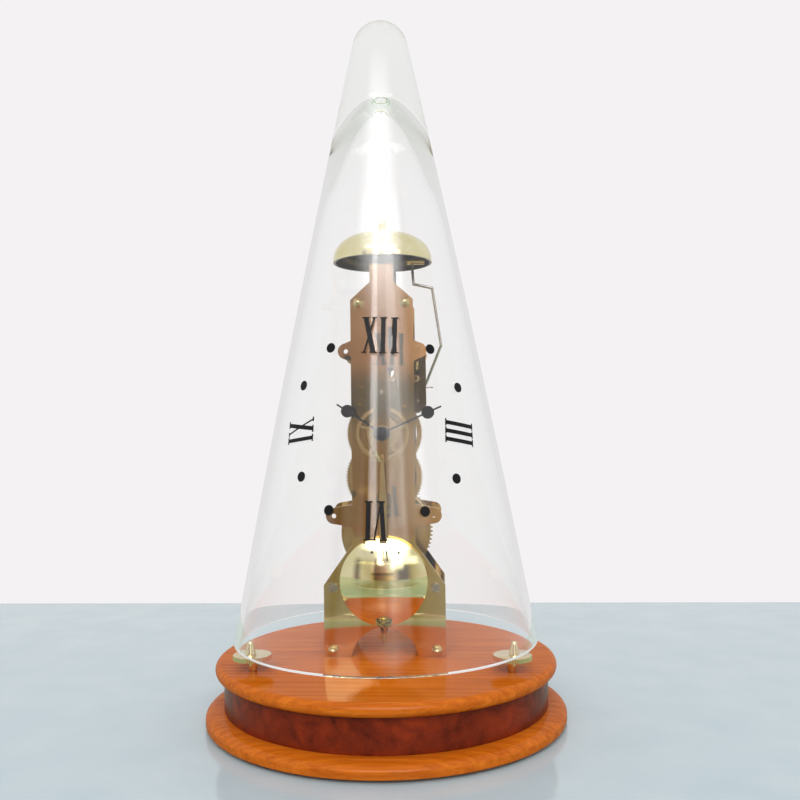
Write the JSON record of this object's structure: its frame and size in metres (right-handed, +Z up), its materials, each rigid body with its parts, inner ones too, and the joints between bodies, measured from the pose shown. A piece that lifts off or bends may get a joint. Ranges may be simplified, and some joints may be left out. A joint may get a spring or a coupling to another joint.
{
  "type": "skeleton table clock",
  "caption": "Skeleton table clock: open brass movement with pendulum and bell under a lift-off glass cone with printed dial, on a round wooden base.",
  "frame": {"origin": "on the table under the axis of the glass, at the centre of the base's underside", "axes": "+Z up along the axis of the glass, dial and pendulum face -Y, +X to the viewer's right"},
  "size_m": [0.211, 0.211, 0.418],
  "materials": {
    "brass": "mirror-polished and lacquered",
    "steel": "bright steel",
    "felt": "short felt",
    "light_wood": "satin lacquer on cherry-coloured wood",
    "burl_wood": "gloss lacquer on dark burl veneer",
    "glass": "clear",
    "black_print": "fired black print",
    "black_paint": "satin black"
  },
  "bodies": {
    "base": {"felt_pad": "felt", "base_flange": "light_wood", "base_drum": "burl_wood", "base_top": "light_wood", "base_screws": "steel", "movement_bolts": "steel", "support_posts": "brass", "support_discs": "brass", "support_tips": "brass", "front_plate": "brass", "back_plate": "brass", "top_pillars": "brass", "lower_pillars": "brass", "foot_pillars": "brass", "cap_nuts": "brass", "washers": "brass", "leg_screws": "steel", "bell_bridge": "brass", "bell_post": "steel", "bell": "brass", "bell_nut": "brass", "hammer_bracket": "brass", "frame_screws": "brass", "stop_pin": "steel", "click_screw": "steel", "click_spring": "steel", "anchor_bridge": "brass"},
    "glass": {"glass_dome": "glass", "dial_print": "black_print"},
    "centre_train": {"centre_arbor": "steel", "centre_wheel": "brass", "strike_cam": "brass", "cannon_pinion": "brass", "minute_hand": "black_paint", "hand_nut": "black_paint"},
    "hour_work": {"hour_wheel": "brass", "hour_hand": "black_paint"},
    "minute_work": {"minute_wheel": "brass"},
    "intermediate_train": {"intermediate_arbor": "steel", "intermediate_wheel": "brass"},
    "going_barrel": {"barrel": "brass", "barrel_cap": "brass", "mainspring": "steel"},
    "winding_arbor": {"barrel_arbor": "steel", "ratchet_wheel": "steel"},
    "click_pawl": {"click": "steel"},
    "third_train": {"third_wheel": "brass"},
    "escape_train": {"escape_wheel": "brass"},
    "pendulum": {"anchor": "steel", "anchor_arbor": "steel", "pendulum_leader": "brass", "leader_nut": "brass", "pendulum_rod": "brass"},
    "bob": {"bob_front": "brass", "bob_back": "brass"},
    "rating": {"rating_nut": "brass"},
    "hammer": {"hammer_arbor": "steel", "hammer_wire": "steel", "hammer_head": "brass"}
  },
  "joints": [
    {"name": "glass_lift", "type": "slide", "parent": "base", "child": "glass", "axis": [0, 0, 1], "range_m": [0, 0.26]},
    {"name": "minute_turn", "type": "hinge", "parent": "base", "child": "centre_train", "pos_m": [0, 0, 0.167], "axis": [0, 1, 0], "continuous": true},
    {"name": "hour_turn", "type": "hinge", "parent": "base", "child": "hour_work", "pos_m": [0, 0, 0.167], "axis": [0, 1, 0], "continuous": true},
    {"name": "minute_wheel_turn", "type": "hinge", "parent": "base", "child": "minute_work", "pos_m": [0.00746, 0, 0.15101], "axis": [0, 1, 0], "continuous": true},
    {"name": "intermediate_turn", "type": "hinge", "parent": "base", "child": "intermediate_train", "pos_m": [0, 0, 0.14078], "axis": [0, 1, 0], "continuous": true},
    {"name": "barrel_turn", "type": "hinge", "parent": "base", "child": "going_barrel", "pos_m": [0, 0, 0.10718], "axis": [0, 1, 0], "continuous": true},
    {"name": "third_turn", "type": "hinge", "parent": "base", "child": "third_train", "pos_m": [-0.005, 0, 0.19119], "axis": [0, 1, 0], "continuous": true},
    {"name": "escape_turn", "type": "hinge", "parent": "base", "child": "escape_train", "pos_m": [0, 0, 0.20435], "axis": [0, 1, 0], "continuous": true},
    {"name": "winding_turn", "type": "hinge", "parent": "base", "child": "winding_arbor", "pos_m": [0, 0, 0.10718], "axis": [0, 1, 0], "continuous": true},
    {"name": "click_lift", "type": "hinge", "parent": "base", "child": "click_pawl", "pos_m": [0.015, 0, 0.11618], "axis": [0, 1, 0], "range_deg": [0, 10], "stiffness_Nm_per_rad": 0.005},
    {"name": "pendulum_swing", "type": "hinge", "parent": "base", "child": "pendulum", "pos_m": [0, 0, 0.191], "axis": [0, 1, 0], "range_deg": [-3, 3]},
    {"name": "bob_slide", "type": "slide", "parent": "pendulum", "child": "bob", "axis": [0, 0, 1], "range_m": [-0.001, 0.001]},
    {"name": "rating_nut_turn", "type": "hinge", "parent": "bob", "child": "rating", "pos_m": [0, -0.0181, 0.056], "axis": [0, 0, 1], "range_deg": [-725, 725]},
    {"name": "hammer_swing", "type": "hinge", "parent": "base", "child": "hammer", "pos_m": [0.021, 0, 0.186], "axis": [0, 1, 0], "range_deg": [-7, 0.5], "stiffness_Nm_per_rad": 0.03}
  ],
  "couplings": [
    {"joint": "hour_turn", "follows": "minute_turn", "ratio": 0.083333},
    {"joint": "minute_wheel_turn", "follows": "minute_turn", "ratio": -0.66667},
    {"joint": "intermediate_turn", "follows": "minute_turn", "ratio": -0.15},
    {"joint": "barrel_turn", "follows": "minute_turn", "ratio": 0.03},
    {"joint": "third_turn", "follows": "minute_turn", "ratio": -12},
    {"joint": "escape_turn", "follows": "minute_turn", "ratio": 120},
    {"joint": "rating_nut_turn", "follows": "bob_slide", "rad_per_m": 12566}
  ]
}
